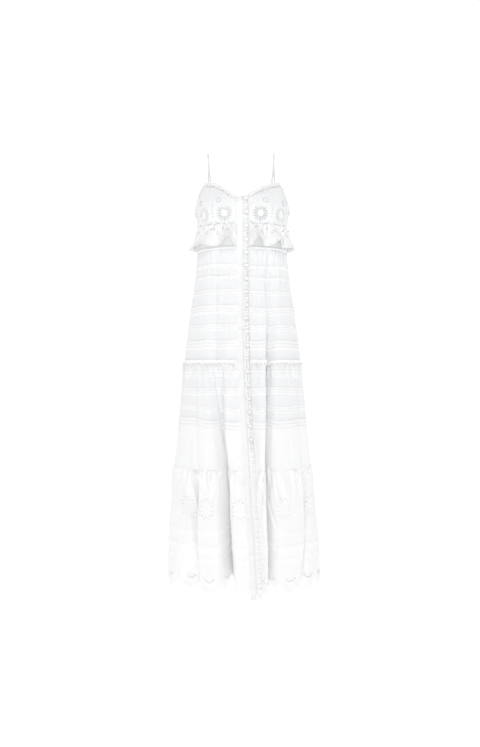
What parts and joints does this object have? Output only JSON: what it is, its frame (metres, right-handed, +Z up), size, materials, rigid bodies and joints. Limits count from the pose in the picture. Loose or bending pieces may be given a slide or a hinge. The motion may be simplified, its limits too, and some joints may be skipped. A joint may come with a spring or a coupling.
{
  "type": "sleeveless maxi dress",
  "caption": "Long white cotton sun dress with thin straps, cutwork bodice, flounce, buttoned placket and gathered tiers with a scalloped hem, in its worn hollow form.",
  "frame": {"origin": "midway between the two straps, at the level where they cross the wearer's shoulders, where the dress is held", "axes": "+Z up along the dress, -Y the way the front faces, +X the wearer's left"},
  "size_m": [0.487, 0.3719, 1.3702],
  "materials": {
    "bodice_cotton": "white cotton, matt, plain weave with cutwork, small cut-out wheels and eyelets in white thread",
    "skirt_cotton": "white cotton, matt, softly creased, tucks, gathers and cut-out ovals in white thread",
    "flounce_cotton": "white cotton, matt, plain, with a stitched edge",
    "frill_cotton": "white cotton, matt, gathered, plain, with a stitched edge",
    "strap_cotton": "white cotton rouleau, matt, plain",
    "button_cotton": "buttons covered in white cotton, matt, plain"
  },
  "bodies": {
    "root": {"armhole_frill_left": "frill_cotton", "armhole_frill_right": "frill_cotton", "back_frill": "frill_cotton", "bodice_back": "bodice_cotton", "bodice_front_left": "bodice_cotton", "bodice_front_right": "bodice_cotton", "button_01": "button_cotton", "button_02": "button_cotton", "button_03": "button_cotton", "button_04": "button_cotton", "button_05": "button_cotton", "button_06": "button_cotton", "button_07": "button_cotton", "button_08": "button_cotton", "button_09": "button_cotton", "button_10": "button_cotton", "button_11": "button_cotton", "button_12": "button_cotton", "button_13": "button_cotton", "button_14": "button_cotton", "button_15": "button_cotton", "button_16": "button_cotton", "button_17": "button_cotton", "button_18": "button_cotton", "button_19": "button_cotton", "flounce_back": "flounce_cotton", "flounce_front_left": "flounce_cotton", "flounce_front_right": "flounce_cotton", "midriff_back": "bodice_cotton", "midriff_front_left": "bodice_cotton", "midriff_front_right": "bodice_cotton", "neck_frill_left": "frill_cotton", "neck_frill_right": "frill_cotton", "placket_band": "frill_cotton", "placket_frill": "frill_cotton", "seam_heading_back": "frill_cotton", "seam_heading_front_left": "frill_cotton", "seam_heading_front_right": "frill_cotton", "strap_left": "strap_cotton", "strap_right": "strap_cotton", "tier_one_back": "skirt_cotton", "tier_one_front_left": "skirt_cotton", "tier_one_front_right": "skirt_cotton", "tier_three_back": "skirt_cotton", "tier_three_front_left": "skirt_cotton", "tier_three_front_right": "skirt_cotton", "tier_two_back": "skirt_cotton", "tier_two_front_left": "skirt_cotton", "tier_two_front_right": "skirt_cotton", "waist_piping_back": "frill_cotton", "waist_piping_front_left": "frill_cotton", "waist_piping_front_right": "frill_cotton"}
  },
  "joints": []
}
